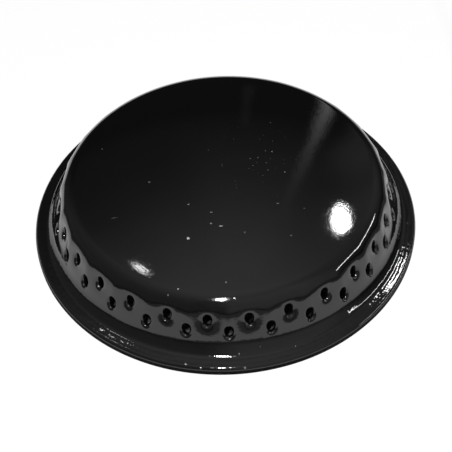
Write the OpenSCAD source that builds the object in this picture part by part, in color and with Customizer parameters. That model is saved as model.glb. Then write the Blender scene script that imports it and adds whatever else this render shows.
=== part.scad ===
// Burner cap of a gas hob: one shell drawn from sheet steel, with a shallow dome,
// a leaning side wall pierced by two staggered rings of flame ports, a hollow foot
// and a narrow flange rolled down to a straight lip. Enamelled inside and out.
// The origin is on the axis, at the height that the lip stands on.

/* [Rim and flange] */
// Diameter over the rim
rim_d = 100; // [90:1:130]
// Height of the straight lip below the rolled rim
lip_h = 1.1; // [0.6:0.1:3]
// Outside radius of the rolled rim
rim_r = 1.15; // [1.15:0.05:2]
// Slope of the flange, in degrees from level
shelf_slope = 6; // [3:1:20]
// Length of the straight part of the flange
shelf_len = 1.4; // [0.2:0.1:4]

/* [Foot and side wall] */
// Outside radius of the tight bend between the flange and the foot
foot_r = 2.5; // [1:0.1:5]
// Outside radius of the long sweep between the foot and the side wall
sweep_r = 7.0; // [4:0.1:10]
// Slope of the sheet where the tight bend gives way to the sweep, in degrees from upright
foot_lean = 48; // [35:1:60]
// Lean of the side wall, in degrees from upright
wall_lean = 21; // [15:1:30]
// Length of the straight side wall, measured up its slope
wall_len = 6.2; // [6.2:0.1:10]

/* [Crown] */
// Outside radius of the shoulder between wall and crown
shoulder_r = 6.4; // [4:0.1:9]
// Outside radius of the domed crown
crown_r = 175; // [120:5:300]

/* [Sheet] */
// Thickness of the enamelled sheet
sheet_t = 1.0; // [0.8:0.05:1.1]

/* [Flame ports] */
// Number of ports in each of the two rings
port_count = 28; // [20:1:30]
// Width of a port at its neck, across the wall
port_w = 1.9; // [1.6:0.05:2.2]
// Height of a port at its neck, up the slope of the wall
port_h = 2.8; // [2.4:0.1:3.3]
// Radius of the rolled-in mouth of a port
mouth_r = 0.8; // [0.4:0.05:0.9]
// Distance of the lower ring from the bottom of the straight wall, up the slope
lower_ring_s = 1.85; // [1.6:0.05:2.2]
// Distance of the upper ring from the bottom of the straight wall, up the slope
upper_ring_s = 4.85; // [4.6:0.05:5.2]
// Wall of the short collar that piercing pushes in behind each port
collar_wall = 0.5; // [0.3:0.05:0.8]
// Height of that collar on the inside of the sheet
collar_h = 0.4; // [0.2:0.05:1]

/* [Hidden] */

$fn = 64;
// Steps in each bend of the sheet, and in the long arc of the crown
bend_steps = 12;
crown_steps = 14;
// Distance by which cutting shapes pass the surfaces that they cut
over = 0.05;

// Unit vectors in the half section: out of the sheet at a tilt above level, and up along it
function out_of(tilt) = [cos(tilt), sin(tilt)];
function up_along(tilt) = [-sin(tilt), cos(tilt)];

// Points of an arc about a centre, from one tilt to another
function arc(centre, radius, from, to, steps) =
    [for (i = [0 : steps]) centre + radius * out_of(from + (to - from) * i / steps)];

// A list without its first item, which the bend before already ends on
function beyond_first(list) = [for (i = [1 : len(list) - 1]) list[i]];

function reversed(list) = [for (i = [len(list) - 1 : -1 : 0]) list[i]];

// Centres of the bends, found upwards from the lip along the outside of the sheet
shelf_tilt = 90 - shelf_slope;
rim_c = [rim_d / 2 - rim_r, lip_h];
shelf_top = rim_c + rim_r * out_of(shelf_tilt) + shelf_len * up_along(shelf_tilt);
foot_c = shelf_top + foot_r * out_of(shelf_tilt);
sweep_c = foot_c + (sweep_r - foot_r) * out_of(foot_lean);
wall_foot = sweep_c - sweep_r * out_of(wall_lean);
wall_top = wall_foot + wall_len * up_along(wall_lean);
shoulder_c = wall_top - shoulder_r * out_of(wall_lean);

// The crown's centre is on the axis, where its arc runs on from the shoulder's
crown_half = asin(shoulder_c[0] / (crown_r - shoulder_r));
crown_c = [0, shoulder_c[1] - (crown_r - shoulder_r) * cos(crown_half)];

// One face of the sheet, from the lip to the axis, at a depth below the outside
function face(depth) = concat(
    [[rim_d / 2 - depth, 0]],
    arc(rim_c, rim_r - depth, 0, shelf_tilt, bend_steps),
    arc(foot_c, -foot_r - depth, shelf_tilt, foot_lean, bend_steps),
    beyond_first(arc(sweep_c, -sweep_r - depth, foot_lean, wall_lean, bend_steps)),
    arc(shoulder_c, shoulder_r - depth, wall_lean, 90 - crown_half, bend_steps),
    beyond_first(arc(crown_c, crown_r - depth, 90 - crown_half, 90, crown_steps))
);

// The bare pressing: its half section turned about the axis
module shell() {
    rotate_extrude($fn = 180)
        polygon(concat(face(0), reversed(face(sheet_t))));
}

// Puts its children at one port of a ring, with +Z pointing out of the sheet
module at_port(ring_s, turn) {
    seat = wall_foot + ring_s * up_along(wall_lean);
    rotate([0, 0, turn])
        translate([seat[0], 0, seat[1]])
            rotate([0, 90 - wall_lean, 0])
                children();
}

// Both rings, the upper one turned by half a pitch
module at_every_port() {
    pitch = 360 / port_count;
    for (i = [0 : port_count - 1]) {
        at_port(lower_ring_s, i * pitch) children();
        at_port(upper_ring_s, (i + 0.5) * pitch) children();
    }
}

// A port's form is a slot with round ends: each end's centre is this far from the middle
end_offset = (port_h - port_w) / 2;

// Upright slot with round ends, made wider all round by a margin
module slot(margin, height) {
    width = port_w + 2 * margin;
    for (side = [-1, 1])
        translate([side * end_offset, 0, 0])
            cylinder(d = width, h = height);
    translate([-end_offset, -width / 2, 0])
        cube([2 * end_offset, width, height]);
}

// Collar behind a port, rooted in the sheet
module collar() {
    translate([0, 0, -sheet_t - collar_h])
        slot(collar_wall, collar_h + sheet_t / 2);
}

// Half section of the rolled mouth, from the port's middle outwards
module mouth_half() {
    reach = port_w / 2 + mouth_r;
    difference() {
        translate([0, over - mouth_r])
            square([reach, mouth_r + over]);
        translate([reach, over - mouth_r])
            circle(r = mouth_r);
    }
}

// Air space of a port: the neck, opening through the rolled mouth
module port_space() {
    depth = sheet_t + collar_h + over;
    translate([0, 0, -depth])
        slot(0, depth);
    for (side = [-1, 1])
        translate([side * end_offset, 0, 0])
            rotate_extrude()
                mouth_half();
    rotate([90, 0, 90])
        linear_extrude(height = 2 * end_offset, center = true) {
            mouth_half();
            mirror([1, 0])
                mouth_half();
        }
}

module burner_cap() {
    color([0.035, 0.035, 0.037])
        difference() {
            union() {
                shell();
                at_every_port() collar();
            }
            at_every_port() port_space();
        }
}

burner_cap();
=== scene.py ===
import math

import bmesh
import bpy
import numpy as np
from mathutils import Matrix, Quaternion, Vector


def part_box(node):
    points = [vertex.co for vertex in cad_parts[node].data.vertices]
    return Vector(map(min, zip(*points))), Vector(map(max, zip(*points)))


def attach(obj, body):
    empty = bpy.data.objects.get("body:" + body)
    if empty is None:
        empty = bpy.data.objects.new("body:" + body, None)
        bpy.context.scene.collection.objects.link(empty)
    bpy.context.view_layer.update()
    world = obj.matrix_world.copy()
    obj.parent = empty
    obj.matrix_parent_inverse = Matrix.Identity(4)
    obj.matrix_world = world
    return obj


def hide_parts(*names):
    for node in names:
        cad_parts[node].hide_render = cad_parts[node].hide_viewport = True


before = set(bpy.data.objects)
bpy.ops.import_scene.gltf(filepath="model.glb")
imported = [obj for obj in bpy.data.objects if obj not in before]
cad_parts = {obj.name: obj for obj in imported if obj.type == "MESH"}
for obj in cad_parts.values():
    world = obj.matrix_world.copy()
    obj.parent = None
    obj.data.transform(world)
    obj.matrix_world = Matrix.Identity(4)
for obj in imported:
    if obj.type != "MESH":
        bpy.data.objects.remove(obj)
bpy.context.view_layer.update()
scene = bpy.context.scene
scene.view_settings.view_transform = "Standard"
mm = 0.001

# Camera
# It looks down on the cap from about 47 degrees up and a hand's breadth away, as a compact
# camera in macro does, and is held a little askew, so that the cap's right side sits higher.
lens_from = Vector((1.14, -149.89, 164.38)) * mm
lens_aim = Vector((0.24, -11.82, 8.0)) * mm
camera_roll = math.radians(-2.64)
camera_data = bpy.data.cameras.new("camera")
camera_data.lens = 66.28
camera_data.sensor_width = 36
camera_data.clip_start = 10 * mm
camera = bpy.data.objects.new("camera", camera_data)
camera.rotation_mode = "QUATERNION"
camera.location = lens_from
level_view = (lens_aim - lens_from).to_track_quat("-Z", "Y")
camera.rotation_quaternion = level_view @ Quaternion((0, 0, 1), camera_roll)
scene.collection.objects.link(camera)
scene.camera = camera

# The pressing
# One round of 1 mm sheet steel, drawn to a shallow dome with a leaning side wall, a hollow
# foot and a narrow flange that is rolled down to a lip. Two staggered rings of flame ports
# are pierced through the wall from outside, which draws a shallow dish round each of them.
cap_low, cap_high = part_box("burner_cap")
rim_radius = cap_high.x / mm
sheet = 1.0
lip_height = 1.1
shelf_tilt = 84
foot_tilt = 48
wall_tilt = 21
wall_length = 6.2
shoulder_radius = 6.4
crown_radius = 175

# The section's stretches from the lip upwards: length in mm, and turn of the outward side
# in degrees towards straight up
def bend(radius, turn):
    return (abs(radius * math.radians(turn)), turn)


to_wall = [
    (lip_height, 0),
    bend(1.15, shelf_tilt),
    (1.4, 0),
    bend(2.5, foot_tilt - shelf_tilt),
    bend(7.0, wall_tilt - foot_tilt),
]


def walk(stretches, start, tilt, step=0.01):
    """Rows of way, radius, height and tilt, at every step along the section."""
    rows = [(0, start[0], start[1], tilt)]
    for length, turn in stretches:
        count = math.ceil(length / step)
        for _ in range(count):
            way, radius, height, tilt = rows[-1]
            middle = math.radians(tilt + turn / count / 2)
            step_in = length / count * math.sin(middle)
            step_up = length / count * math.cos(middle)
            rows.append((way + length / count, radius - step_in, height + step_up, tilt + turn / count))
    return np.array(rows)


lower = walk(to_wall, (rim_radius, 0), 0)
foot_way = lower[-1, 0]
wall_top_r = lower[-1, 1] - wall_length * math.sin(math.radians(wall_tilt))
shoulder_r = wall_top_r - shoulder_radius * math.cos(math.radians(wall_tilt))
crown_half = math.degrees(math.asin(shoulder_r / (crown_radius - shoulder_radius)))
to_apex = [
    (wall_length, 0),
    bend(shoulder_radius, 90 - crown_half - wall_tilt),
    bend(crown_radius, crown_half),
]
upper = walk(to_apex, lower[-1, 1:3], wall_tilt)
section = np.vstack([lower, upper[1:] + (foot_way, 0, 0, 0)])
section[:, 0] -= foot_way
lip_way = -foot_way
shoulder_way = wall_length
crown_way = wall_length + to_apex[1][0]
apex_way = section[-1, 0]


def on_section(azimuth, way, depth):
    """Points at an azimuth in degrees, a way up from the wall's foot and a depth in the sheet."""
    tilt = np.radians(np.interp(way, section[:, 0], section[:, 3]))
    radius = np.interp(way, section[:, 0], section[:, 1]) - depth * np.cos(tilt)
    height = np.interp(way, section[:, 0], section[:, 2]) - depth * np.sin(tilt)
    turn = np.radians(azimuth)
    return np.stack([radius * np.cos(turn), radius * np.sin(turn), height + 0 * turn], axis=-1)


# Each port with the small differences that piercing and enamel leave between them
port_count = 28
port_pitch = 360 / port_count
neck_half_height = 1.4
mouth_radius = 0.8
collar_wall = 0.5
collar_height = 0.4
ring_radius = 43.3
rings = [(1.85, 0, 0.02, 0.82), (4.85, 0.5, 0.2, 0.88)]
chance = np.random.default_rng(28)
ports = []
for way, shift, dent, half_width in rings:
    for number in range(port_count):
        off_across, off_along = chance.normal(0, 0.06, 2)
        slope = dent * chance.uniform(0.85, 1.15)
        ports.append(((number + shift) * port_pitch, way, off_across, off_along, slope, half_width))

# Piercing draws the sheet in round a port: slope of the dent at distances from its middle
dent_reach = [0, 0.8, 1.4, 1.9, 2.4, 3.2]
dent_slope = [0, 0.8, 1.0, 0.6, 0.18, 0]
dent_squash = 0.8
dent_away = np.linspace(0, 5, 101)
dent_profile = np.interp(dent_away, dent_reach, dent_slope)
dent_profile = np.flip(np.cumsum(np.flip(dent_profile))) * (dent_away[1] - dent_away[0])

# Each port of the upper ring also draws the wall in over its whole height, in a shallow
# scallop that runs out in the shoulder: its slope at ways up the wall, and its half width
scallop_way = [-0.9, 0.6, 3.0, 4.3, 5.2, 6.4, 7.2, 8.8, 10.4]
scallop_slope = [0, 0.044, 0.046, 0.034, 0.012, 0.006, -0.08, -0.08, 0]
scallop_reach = 4.7
scallop_ways = np.linspace(-1, 13, 281)
scallop_profile = np.interp(scallop_ways, scallop_way, scallop_slope)
scallop_profile = np.cumsum(scallop_profile) * (scallop_ways[1] - scallop_ways[0])
scallop_profile -= scallop_profile[-1] * (scallop_ways - scallop_ways[0]) / np.ptp(scallop_ways)

# The press and the fired enamel leave the sheet very slightly uneven
swell = chance.normal(0, 1, (24, 3))
swell *= (2 * math.pi / chance.uniform(9, 24, 24) / np.linalg.norm(swell, axis=1))[:, None]
swell_phase = chance.uniform(0, 2 * math.pi, 24)
swell_depth = 0.012


def sink(azimuth, way):
    """Depth to which the sheet is pressed in there: the ports' dents and the swell."""
    here = on_section(azimuth, way, 0)
    depth = swell_depth * (2.4 + np.sin(here @ swell.T + swell_phase).mean(axis=-1) * 4)
    for port_azimuth, port_way, off_across, off_along, slope, _ in ports:
        turn = np.mod(azimuth - port_azimuth + 180, 360) - 180
        across = np.radians(turn) * ring_radius - off_across
        away = np.hypot(across, (way - port_way - off_along) * dent_squash)
        depth = depth + slope * np.interp(away, dent_away, dent_profile, right=0)
        if port_way == rings[1][0]:
            share = np.clip(1 - (across / scallop_reach) ** 4, 0, 1) ** 2
            depth = depth + share * np.interp(way, scallop_ways, scallop_profile)
    return depth


corners = []
faces = []


def skin(rows, joined=True):
    """Faces between neighbouring rows of points, each row closed on itself if joined."""
    first = sum(len(block) for block in corners)
    number = first + np.arange(rows.shape[0] * rows.shape[1]).reshape(rows.shape[:2])
    beside = np.roll(number, -1, axis=1)
    if not joined:
        number, beside = number[:, :-1], beside[:, :-1]
    corners.append(rows.reshape(-1, 3))
    faces.append(np.stack([number[:-1], beside[:-1], beside[1:], number[1:]], -1).reshape(-1, 4))


def eased(start, end, count, ease=1.0):
    """Numbers from start to end, close together at the start where ease is over 1."""
    return start + (end - start) * np.linspace(0, 1, count + 1) ** ease


# The belt of the wall that holds the ports is 56 cells, one round each port
cell_low = -0.9
cell_high = 7.6
cell_across = 6
cell_along = 12
cell_width = port_pitch / 2
column = cell_width / cell_across
azimuths = -cell_width / 2 + column * np.arange(2 * port_count * cell_across)

# Plain rows below and above the belt, on the outside and then on the inside
edge_radius = 0.15
below = np.concatenate([
    eased(lip_way + edge_radius, lip_way + lip_height, 2),
    eased(lip_way + lip_height, lip_way + lip_height + to_wall[1][0], 10)[1:],
    eased(lip_way + lip_height + to_wall[1][0], -to_wall[3][0] - to_wall[4][0], 3)[1:],
    eased(-to_wall[3][0] - to_wall[4][0], -to_wall[4][0], 8)[1:],
    eased(-to_wall[4][0], cell_low, 6)[1:],
])
above = np.concatenate([
    eased(cell_high, crown_way, 14),
    eased(crown_way, apex_way, 16)[1:],
])


def around(ways, depth):
    turns, rows = np.meshgrid(azimuths, ways)
    return on_section(turns, rows, depth + sink(turns, rows))


skin(around(below, 0))
skin(around(above, 0))
skin(around(above[::-1], sheet))
skin(around(below[::-1], sheet))

# The cut edge of the lip, rounded on both sides
edge = []
for angle in np.radians(np.linspace(90, 0, 5)):
    edge.append((edge_radius * (1 - math.sin(angle)), edge_radius * (1 - math.cos(angle))))
edge_rows = []
for inward, up in edge:
    edge_rows.append((sheet - inward, up))
for inward, up in edge[::-1]:
    edge_rows.append((inward, up))
edge_depth = np.array([row[0] for row in edge_rows])[:, None]
edge_way = lip_way + np.array([row[1] for row in edge_rows])[:, None]
edge_turns = azimuths[None, :] + 0 * edge_way
edge_sink = sink(edge_turns, lip_way + edge_radius + 0 * edge_turns)
skin(on_section(edge_turns, edge_way + 0 * edge_turns, edge_depth + edge_sink))


def cell_border(port_way):
    """Points round a cell from its lower right corner, as steps across and along the wall."""
    low, high, side = cell_low - port_way, cell_high - port_way, cell_width / 2
    up = np.linspace(low, high, cell_along + 1)[:-1]
    left = np.linspace(side, -side, cell_across + 1)[:-1]
    return np.concatenate([
        np.stack([0 * up + side, up], -1),
        np.stack([left, 0 * left + high], -1),
        np.stack([0 * up - side, up[::-1] + (high - up[-1])], -1),
        np.stack([-left, 0 * left + low], -1),
    ])


# Rings of each cell, from its border through the rolled mouth, the neck and the collar
# behind it to the inner border
degree = 1 / (math.radians(1) * ring_radius)
spokes = 2 * (cell_across + cell_along)
spoke_angles = np.radians(-60 + np.arange(spokes) * 360 / spokes)
spoke = np.stack([np.cos(spoke_angles), np.sin(spoke_angles)], -1)
mouth_steps = 7
collar_steps = 4
for port_azimuth, port_way, off_across, off_along, slope, half_width in ports:
    border = cell_border(port_way)
    border[:, 0] /= degree
    centre = np.array([off_across, off_along])
    neck = np.array([half_width, neck_half_height])
    roll_start = math.atan(slope)
    mouth_grow = mouth_radius * (1 - math.sin(roll_start))

    def ring_at(grow, share=0.0):
        """Steps across and along for an oval that much past the neck, or nearer the border."""
        return (centre + (neck + grow) * spoke) * (1 - share) + border * share

    def lay(steps, depth, from_steps=None):
        """Points on the wall at those steps, pressed in as the wall is at from_steps."""
        base = steps if from_steps is None else from_steps
        turns = port_azimuth + steps[:, 0] * degree
        base_sink = sink(port_azimuth + base[:, 0] * degree, port_way + base[:, 1])
        return on_section(turns, port_way + steps[:, 1], depth + base_sink)

    rows = []
    for share in eased(0, 1, 9, 1.6)[::-1]:
        rows.append(lay(ring_at(mouth_grow, share), 0))
    for angle in np.linspace(roll_start, math.pi / 2, mouth_steps + 1)[1:]:
        ring = ring_at(mouth_radius * (1 - math.sin(angle)))
        depth = mouth_radius * (math.cos(roll_start) - math.cos(angle))
        rows.append(lay(ring, depth, ring_at(mouth_grow)))
    collar_depth = sheet + collar_height
    for depth in (sheet, collar_depth - collar_wall / 2):
        rows.append(lay(ring_at(0), depth, ring_at(mouth_grow)))
    for angle in np.radians(np.linspace(0, 180, collar_steps + 1))[1:]:
        ring = ring_at(collar_wall / 2 * (1 - math.cos(angle)))
        depth = collar_depth - collar_wall / 2 * (1 - math.sin(angle))
        rows.append(lay(ring, depth, ring_at(mouth_grow)))
    for share in eased(0, 1, 4, 1.4):
        rows.append(lay(ring_at(collar_wall + 0.15, share), sheet))
    skin(np.array(rows))

cap_mesh = bpy.data.meshes.new("enamelled_cap")
cap_mesh.from_pydata(np.vstack(corners) * mm, [], np.vstack(faces).tolist())
joined = bmesh.new()
joined.from_mesh(cap_mesh)
bmesh.ops.remove_doubles(joined, verts=joined.verts, dist=0.001 * mm)
open_edges = sum(not edge.is_manifold for edge in joined.edges)
joined.to_mesh(cap_mesh)
joined.free()
print("cap:", len(cap_mesh.polygons), "faces,", open_edges, "open edges")
cap_mesh.shade_smooth()
cap = bpy.data.objects.new("enamelled_cap", cap_mesh)
scene.collection.objects.link(cap)
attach(cap, "root")
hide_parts("burner_cap")


def linear(hex_colour):
    """An sRGB colour such as "a0a0a0" as linear red, green, blue and alpha."""
    parts = [int(hex_colour[i:i + 2], 16) / 255 for i in (0, 2, 4)]
    return [p / 12.92 if p <= 0.04045 else ((p + 0.055) / 1.055) ** 2.4 for p in parts] + [1.0]


def add(tree, kind, links=(), **settings):
    """Adds a node, sets its properties and unlinked inputs, and links the others to it."""
    node = tree.nodes.new(kind)
    for name, value in settings.items():
        if hasattr(node, name):
            setattr(node, name, value)
        else:
            node.inputs[name.replace("_", " ").title()].default_value = value
    for name, socket in dict(links).items():
        tree.links.new(socket, node.inputs[name])
    return node


# Black vitreous enamel: glass frit sprayed on the steel and fired until it flows out
# Its surface is as glossy as glass, with the slight ripple of orange peel
enamel = bpy.data.materials.new("fired_black_enamel")
enamel.use_nodes = True
tree = enamel.node_tree
tree.nodes.clear()
peel_size = 2.5 * mm
peel_height = 0.012 * mm
flange_peel_height = 0.05 * mm
ring_spacing = 1.8 * mm
ring_height = 0.036 * mm
grain_size = 0.4 * mm
grain_height = 0.006 * mm
pit_size = 0.9 * mm
pit_height = 0.02 * mm
smear_size = 9 * mm
place = add(tree, "ShaderNodeTexCoord").outputs["Object"]
level_up = add(tree, "ShaderNodeSeparateXYZ", {0: place}).outputs["Z"]
peel = add(tree, "ShaderNodeTexNoise", {"Vector": place}, Scale=1 / peel_size, Detail=2.0)
grain = add(tree, "ShaderNodeTexNoise", {"Vector": place}, Scale=1 / grain_size, Detail=1.0)
smear = add(tree, "ShaderNodeTexNoise", {"Vector": place}, Scale=1 / smear_size, Detail=3.0)
peel_there = add(tree, "ShaderNodeMapRange", {"Value": level_up}, interpolation_type="SMOOTHSTEP")
peel_there.inputs["From Min"].default_value = 3.2 * mm
peel_there.inputs["From Max"].default_value = 5.5 * mm
peel_there.inputs["To Min"].default_value = flange_peel_height
peel_there.inputs["To Max"].default_value = peel_height
grained = add(tree, "ShaderNodeBump", {"Height": grain.outputs["Fac"]}, Distance=grain_height)
pits = add(tree, "ShaderNodeTexNoise", {"Vector": place}, Scale=1 / pit_size, Detail=1.0)
pits_there = add(tree, "ShaderNodeMapRange", {"Value": level_up}, interpolation_type="SMOOTHSTEP")
pits_there.inputs["From Min"].default_value = 3.2 * mm
pits_there.inputs["From Max"].default_value = 5.0 * mm
pits_there.inputs["To Min"].default_value = pit_height
pits_there.inputs["To Max"].default_value = 0.0
pitted = add(tree, "ShaderNodeBump", {
    "Height": pits.outputs["Fac"],
    "Distance": pits_there.outputs["Result"],
    "Normal": grained.outputs["Normal"],
})
ringed = add(tree, "ShaderNodeTexWave", {"Vector": place}, wave_type="RINGS", rings_direction="Z", Distortion=2.5)
ringed.inputs["Scale"].default_value = 2 * math.pi / (20 * ring_spacing)
ringed.inputs["Detail Scale"].default_value = 0.6
rings_there = add(tree, "ShaderNodeMapRange", {"Value": level_up}, interpolation_type="SMOOTHSTEP")
rings_there.inputs["From Min"].default_value = 3.2 * mm
rings_there.inputs["From Max"].default_value = 5.0 * mm
rings_there.inputs["To Min"].default_value = ring_height
rings_there.inputs["To Max"].default_value = 0.0
rolled = add(tree, "ShaderNodeBump", {
    "Height": ringed.outputs["Fac"],
    "Distance": rings_there.outputs["Result"],
    "Normal": pitted.outputs["Normal"],
})
rippled = add(tree, "ShaderNodeBump", {
    "Height": peel.outputs["Fac"],
    "Distance": peel_there.outputs["Result"],
    "Normal": rolled.outputs["Normal"],
})
rough = add(tree, "ShaderNodeMapRange", {"Value": smear.outputs["Fac"]})
rough.inputs["To Min"].default_value = 0.03
rough.inputs["To Max"].default_value = 0.055

# Dust, two short scratches and five painted glints: middle, length and width in mm, and how pale each is
dust_and_glints = [
    (-18.2, -5.6, 18.8, 0.5, 0.5, 0.3), (-8.5, -13.9, 19.0, 0.5, 0.5, 0.4), (-3.1, -16.7, 19.0, 0.9, 0.3, 0.5),
    (-3.2, -19.9, 18.6, 0.5, 0.4, 0.6), (-0.9, -20.8, 18.5, 1.0, 0.4, 0.6), (-8.6, -23.7, 18.0, 0.7, 0.7, 1.0),
    (4.6, -22.8, 18.2, 0.4, 0.4, 0.3), (-31.1, 9.1, 16.8, 0.4, 0.4, 0.3), (12.9, 14.5, 18.7, 0.4, 0.4, 0.2),
    (7.0, 0.3, 19.6, 0.35, 0.35, 0.4), (8.9, 0.6, 19.6, 0.35, 0.35, 0.4), (12.6, 2.8, 19.3, 0.4, 0.4, 0.4),
    (11.2, -3.7, 19.4, 0.35, 0.35, 0.4), (15.3, -4.3, 19.1, 0.4, 0.4, 0.4), (12.9, -14.5, 18.7, 0.8, 0.3, 0.4),
    (15.4, -23.7, 17.5, 0.5, 0.5, 0.2), (19.1, -15.8, 18.0, 0.35, 0.35, 0.2), (-26.9, -15.5, 17.0, 2.5, 0.2, 0.3),
    (-18.8, -17.0, 18.1, 2.4, 0.2, 0.4), (-10.1, -48.0, 2.2, 0.5, 0.5, 0.6), (15.1, -44.6, 2.9, 0.4, 0.4, 0.3),
    (7.0, -45.1, 4.1, 0.4, 0.4, 0.3), (-11.0, -36.5, 15.5, 0.4, 0.4, 0.5), (-13.3, -37.5, 14.7, 0.4, 0.4, 0.4),
    # From the second entry on the next line, the last five are painted glints: pale dots where lamps would glint,
    # at a port on the right, beside the flash's highlight on the shoulder, and on the front flange and lip
    (-0.2, -35.6, 16.1, 0.4, 0.4, 0.4), (39.9, -15.0, 10.2, 0.5, 0.5, 0.7), (1.5, -39.3, 14.8, 0.4, 0.4, 0.4),
    (2.1, -46.3, 2.9, 0.35, 0.35, 0.3), (3.3, -49.5, 1.9, 0.4, 0.4, 0.4), (-6.7, -49.1, 2.0, 0.4, 0.4, 0.35),
]
fine_spread = 1.1 * mm
fine_areas = [((7.0, 0.0, 19.5), 15, 0.5), ((47.0, -6.0, 2.5), 14, 0.7)]
fine = add(tree, "ShaderNodeTexVoronoi", {"Vector": place}, Scale=1 / fine_spread)
picked = add(tree, "ShaderNodeSeparateXYZ", {0: fine.outputs["Color"]}).outputs["X"]
size = add(tree, "ShaderNodeMapRange", {"Value": picked})
size.inputs["From Min"].default_value = 0.25
size.inputs["To Min"].default_value = 0.0
size.inputs["To Max"].default_value = 0.12
dust_or_glint = add(tree, "ShaderNodeMath", {0: fine.outputs["Distance"], 1: size.outputs["Result"]}, operation="LESS_THAN")
fine_specks = dust_or_glint.outputs[0]
dust_or_glint = None
for middle, reach, pale in fine_areas:
    gap = add(tree, "ShaderNodeVectorMath", {0: place}, operation="DISTANCE")
    gap.inputs[1].default_value = [part * mm for part in middle]
    settled = add(tree, "ShaderNodeMapRange", {"Value": gap.outputs["Value"]})
    settled.inputs["From Min"].default_value = reach * mm
    settled.inputs["From Max"].default_value = 0.0
    settled.inputs["To Max"].default_value = pale
    settled = add(tree, "ShaderNodeMath", {0: fine_specks, 1: settled.outputs["Result"]}, operation="MULTIPLY")
    if dust_or_glint is not None:
        settled = add(tree, "ShaderNodeMath", {0: dust_or_glint, 1: settled.outputs[0]}, operation="MAXIMUM")
    dust_or_glint = settled.outputs[0]
# Each speck, scratch and painted glint is a soft pale oval
for x, y, z, long, wide, pale in dust_and_glints:
    narrowed = add(tree, "ShaderNodeVectorMath", {0: place}, operation="MULTIPLY")
    narrowed.inputs[1].default_value = (wide / long, 1, 0.3)
    gap = add(tree, "ShaderNodeVectorMath", {0: narrowed.outputs["Vector"]}, operation="DISTANCE")
    gap.inputs[1].default_value = (x * wide / long * mm, y * mm, z * 0.3 * mm)
    speck_or_glint = add(tree, "ShaderNodeMapRange", {"Value": gap.outputs["Value"]})
    speck_or_glint.inputs["From Min"].default_value = wide * 0.6 * mm
    speck_or_glint.inputs["From Max"].default_value = wide * 0.35 * mm
    speck_or_glint.inputs["To Max"].default_value = pale
    more = add(tree, "ShaderNodeMath", {0: dust_or_glint, 1: speck_or_glint.outputs["Result"]}, operation="MAXIMUM")
    dust_or_glint = more.outputs[0]
# The pale colour and dull roughness serve both the dust and the painted glints
colour = add(tree, "ShaderNodeMix", {"Factor": dust_or_glint}, data_type="RGBA")
colour.inputs[6].default_value = linear("050505")
colour.inputs[7].default_value = linear("8c8c8c")
dulled = add(tree, "ShaderNodeMix", {"Factor": dust_or_glint, "A": rough.outputs["Result"]}, data_type="FLOAT", B=0.8)
glass = add(tree, "ShaderNodeBsdfPrincipled", {
    "Base Color": colour.outputs[2],
    "Normal": rippled.outputs["Normal"],
    "Roughness": dulled.outputs["Result"],
})
glass.inputs["IOR"].default_value = 1.55
surface = add(tree, "ShaderNodeOutputMaterial", {"Surface": glass.outputs["BSDF"]})
cap_mesh.materials.append(enamel)

# Floor
# A plain white board that the cap stands on, with a darker table beyond its edges. The camera sees it all as white,
# with the cap's soft shadow on the board, and the enamel mirrors the board as white and the table as darker. Close
# round the lip the board has a painted shadow that only the enamel mirrors, and under the cap it is painted grey as
# painted shade.
floor_half = 3.0
paper_front = 88
paper_left = 112
paper_right = 76
shadow_start = 1.6
shadow_end = 4.6
floor_mesh = bpy.data.meshes.new("floor")
floor_corners = [(x * floor_half, y * floor_half, 0) for x, y in ((-1, -1), (1, -1), (1, 1), (-1, 1))]
floor_mesh.from_pydata(floor_corners, [], [(0, 1, 2, 3)])
floor = bpy.data.objects.new("floor", floor_mesh)
scene.collection.objects.link(floor)
board = bpy.data.materials.new("white_board")
board.use_nodes = True
tree = board.node_tree
tree.nodes.clear()
spot = add(tree, "ShaderNodeTexCoord").outputs["Object"]
from_axis = add(tree, "ShaderNodeVectorMath", {0: spot}, operation="LENGTH")
clear = add(tree, "ShaderNodeMath", {0: from_axis.outputs["Value"]}, operation="GREATER_THAN")
clear.inputs[1].default_value = (rim_radius - sheet / 2) * mm
clear = clear.outputs[0]
across = add(tree, "ShaderNodeSeparateXYZ", {0: spot}).outputs
on_paper = clear
for socket, edge_at, side in (
    (across["Y"], -paper_front, 1),
    (across["X"], -paper_left, 1),
    (across["X"], paper_right, -1),
):
    within = add(tree, "ShaderNodeMapRange", {"Value": socket}, interpolation_type="SMOOTHSTEP")
    within.inputs["From Min"].default_value = (edge_at - side * 4) * mm
    within.inputs["From Max"].default_value = (edge_at + side * 4) * mm
    inner = add(tree, "ShaderNodeMath", {0: on_paper, 1: within.outputs["Result"]}, operation="MULTIPLY")
    on_paper = inner.outputs[0]
around_tone = add(tree, "ShaderNodeMix", {"Factor": on_paper}, data_type="RGBA")
around_tone.inputs[6].default_value = linear("6a6a6a")
around_tone.inputs[7].default_value = linear("f0f0f0")
rays = add(tree, "ShaderNodeLightPath").outputs
# Painted shadow: close round the lip the board turns to a dark 3c3c3c and loses its white glow, but only in what
# the enamel mirrors
past_painted_shadow = add(tree, "ShaderNodeMapRange", {"Value": from_axis.outputs["Value"]}, interpolation_type="SMOOTHSTEP")
past_painted_shadow.inputs["From Min"].default_value = (rim_radius + shadow_start) * mm
past_painted_shadow.inputs["From Max"].default_value = (rim_radius + shadow_end) * mm
not_mirrored = add(tree, "ShaderNodeMath", {1: rays["Is Glossy Ray"]}, operation="SUBTRACT")
not_mirrored.inputs[0].default_value = 1.0
seen = add(tree, "ShaderNodeMath", {0: past_painted_shadow.outputs["Result"], 1: not_mirrored.outputs[0]}, operation="MAXIMUM")
lip_shadow_tone = add(tree, "ShaderNodeMix", {"Factor": seen.outputs[0], 7: around_tone.outputs[2]}, data_type="RGBA")
lip_shadow_tone.inputs[6].default_value = linear("3c3c3c")
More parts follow.
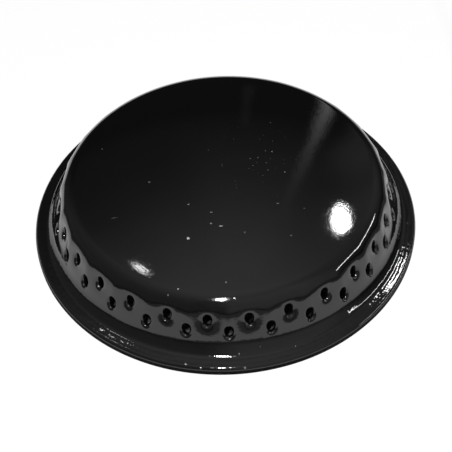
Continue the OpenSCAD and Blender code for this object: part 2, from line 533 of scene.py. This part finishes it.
# Painted shade: under the cap the board is a darker grey, 5a5a5a, on top of the real shadow there, and the flash
# lights it through the ports
painted_shade_tone = add(tree, "ShaderNodeMix", {"Factor": clear, 7: lip_shadow_tone.outputs[2]}, data_type="RGBA")
painted_shade_tone.inputs[6].default_value = linear("5a5a5a")
paper = add(tree, "ShaderNodeBsdfDiffuse", {"Color": painted_shade_tone.outputs[2]})
white = add(tree, "ShaderNodeEmission", Strength=1.0)
shaded = add(tree, "ShaderNodeMath", {0: on_paper}, operation="MULTIPLY")
shaded.inputs[1].default_value = 0.12
bare = add(tree, "ShaderNodeMath", {0: clear, 1: shaded.outputs[0]}, operation="SUBTRACT")
in_view = add(tree, "ShaderNodeMath", {0: rays["Is Camera Ray"], 1: bare.outputs[0]}, operation="MULTIPLY")
mirrored = add(tree, "ShaderNodeMath", {0: rays["Is Glossy Ray"], 1: on_paper}, operation="MULTIPLY")
mirrored = add(tree, "ShaderNodeMath", {0: mirrored.outputs[0], 1: past_painted_shadow.outputs["Result"]}, operation="MULTIPLY")
mirrored = add(tree, "ShaderNodeMath", {0: mirrored.outputs[0]}, operation="MULTIPLY")
mirrored.inputs[1].default_value = 0.88
share = add(tree, "ShaderNodeMath", {0: in_view.outputs[0], 1: mirrored.outputs[0]}, operation="MAXIMUM")
mixed = add(tree, "ShaderNodeMixShader", {
    "Fac": share.outputs[0],
    1: paper.outputs["BSDF"],
    2: white.outputs["Emission"],
})
add(tree, "ShaderNodeOutputMaterial", {"Surface": mixed.outputs["Shader"]})
floor_mesh.materials.append(board)

# Lamps
# A flash just above the lens, two small lamps high up behind on either side, and a long low
# window on the right


def toward(azimuth, elevation):
    """Direction at an azimuth from the back towards the right, and an elevation, in degrees."""
    flat = math.cos(math.radians(elevation))
    side = math.radians(azimuth)
    return Vector((flat * math.sin(side), flat * math.cos(side), math.sin(math.radians(elevation))))


def lamp(name, azimuth, elevation, distance, width, height, radiance, shape, target, tilt=0):
    """A flat lamp of that width, height and tilt in degrees, as seen from its target."""
    data = bpy.data.lights.new(name, "AREA")
    data.shape = shape
    data.size = 2 * distance * math.tan(math.radians(width / 2))
    data.size_y = 2 * distance * math.tan(math.radians(height / 2))
    round_share = math.pi / 4 if shape == "ELLIPSE" else 1
    data.energy = 4 * round_share * data.size * data.size_y * radiance
    thing = bpy.data.objects.new(name, data)
    way = toward(azimuth, elevation)
    thing.location = Vector(target) * mm + way * distance
    thing.rotation_mode = "QUATERNION"
    level = (-way).to_track_quat("-Z", "Y")
    thing.rotation_quaternion = level @ Quaternion((0, 0, 1), math.radians(tilt))
    scene.collection.objects.link(thing)
    return thing


lamp("flash", -173, 63, 0.19, 4, 10, 300, "ELLIPSE", (-2, -41, 12))
flash_rim = lamp("flash_rim", -173, 63, 0.2, 8, 20, 4, "ELLIPSE", (-2, -41, 12))
flash_rim.visible_diffuse = False
lamp("lamp_left", -44.6, 63.9, 1.6, 1.4, 4.6, 15, "ELLIPSE", (-20, -30, 16))
lamp("lamp_right", 37.8, 51.8, 1.6, 4.4, 7.8, 26, "ELLIPSE", (28, -18, 16), 30)
lamp("low_window", 89.5, 24.2, 1.2, 42, 2, 20, "RECTANGLE", (30, -25, 13))
ceiling = lamp("ceiling_light", 0, 80, 1.5, 30, 30, 3.3, "RECTANGLE", (0, 0, 0))
ceiling.visible_glossy = False

# The room
# Its ceiling is pale and its walls are darker, darkest behind the cap, and palest to the
# front right
world = bpy.data.worlds.new("room")
world.use_nodes = True
scene.world = world
tree = world.node_tree
tree.nodes.clear()
heading = add(tree, "ShaderNodeTexCoord").outputs["Generated"]
height = add(tree, "ShaderNodeSeparateXYZ", {0: heading}).outputs["Z"]
ramp = add(tree, "ShaderNodeValToRGB", {"Fac": height})
levels = [(0, 0.02), (15, 0.022), (27, 0.025), (33, 0.05), (41, 0.065), (48, 0.1), (54, 0.165)]
levels += [(60, 0.25), (67, 0.36), (74, 0.47), (90, 0.55)]
stops = ramp.color_ramp.elements
for elevation, level in levels:
    if elevation in (0, 90):
        stop = stops[0 if elevation == 0 else -1]
    else:
        stop = stops.new(math.sin(math.radians(elevation)))
    stop.color = (level, level, level, 1)
light = ramp.outputs["Color"]


def soft_patch(light, azimuth, half_width, low, high, soft, fade, radiance, lean=0.0):
    """The room's light with a soft-edged patch of wall added, its sizes in degrees."""
    ahead = toward(azimuth, 0)
    beside = toward(azimuth + 90, 0)
    off = add(tree, "ShaderNodeVectorMath", {0: heading}, operation="DOT_PRODUCT")
    off.inputs[1].default_value = beside
    front = add(tree, "ShaderNodeVectorMath", {0: heading}, operation="DOT_PRODUCT")
    front.inputs[1].default_value = ahead
    angle = add(tree, "ShaderNodeMath", {0: off.outputs["Value"], 1: front.outputs["Value"]}, operation="ARCTAN2")
    rise = add(tree, "ShaderNodeMath", {0: height}, operation="ARCSINE")
    leaning = add(tree, "ShaderNodeMath", {0: rise.outputs[0], 2: angle.outputs[0]}, operation="MULTIPLY_ADD")
    leaning.inputs[1].default_value = -lean
    angle = add(tree, "ShaderNodeMath", {0: leaning.outputs[0]}, operation="ABSOLUTE")
    masks = []
    for socket, start, end in (
        (angle.outputs[0], half_width + soft / 2, half_width - soft / 2),
        (rise.outputs[0], low - soft / 2, low + soft / 2),
        (rise.outputs[0], high + fade / 2, high - fade / 2),
    ):
        mask = add(tree, "ShaderNodeMapRange", {"Value": socket}, interpolation_type="SMOOTHSTEP")
        mask.inputs["From Min"].default_value = math.radians(start)
        mask.inputs["From Max"].default_value = math.radians(end)
        masks.append(mask.outputs["Result"])
    both = add(tree, "ShaderNodeMath", {0: masks[0], 1: masks[1]}, operation="MULTIPLY")
    all_three = add(tree, "ShaderNodeMath", {0: both.outputs[0], 1: masks[2]}, operation="MULTIPLY")
    patch = add(tree, "ShaderNodeMath", {0: all_three.outputs[0]}, operation="MULTIPLY")
    patch.inputs[1].default_value = radiance
    total = add(tree, "ShaderNodeMath", {0: light, 1: patch.outputs[0]}, operation="ADD")
    return total.outputs[0]


light = soft_patch(light, 150, 35, 0, 60, 30, 30, 0.36)
light = soft_patch(light, -110, 60, 0, 62, 30, 30, 0.14)
light = soft_patch(light, 75, 40, 12, 55, 25, 25, 0.14)
light = soft_patch(light, 8, 16, 38, 72, 16, 14, 0.045)
light = soft_patch(light, 48, 14, 24, 46, 14, 14, 0.07)
light = soft_patch(light, 28.5, 4, 22, 40, 6, 12, 0.1)
light = soft_patch(light, 17.5, 1.1, 12, 42, 2.2, 38, 0.44, 0.05)
light = soft_patch(light, 16.4, 1.1, 12, 26, 2.2, 24, 0.38, 0.07)
light = soft_patch(light, 4.5, 0.8, 17, 33, 1.5, 1.5, 0.03)
backdrop = add(tree, "ShaderNodeBackground", {"Color": light}, Strength=1.0)
add(tree, "ShaderNodeOutputWorld", {"Surface": backdrop.outputs["Background"]})
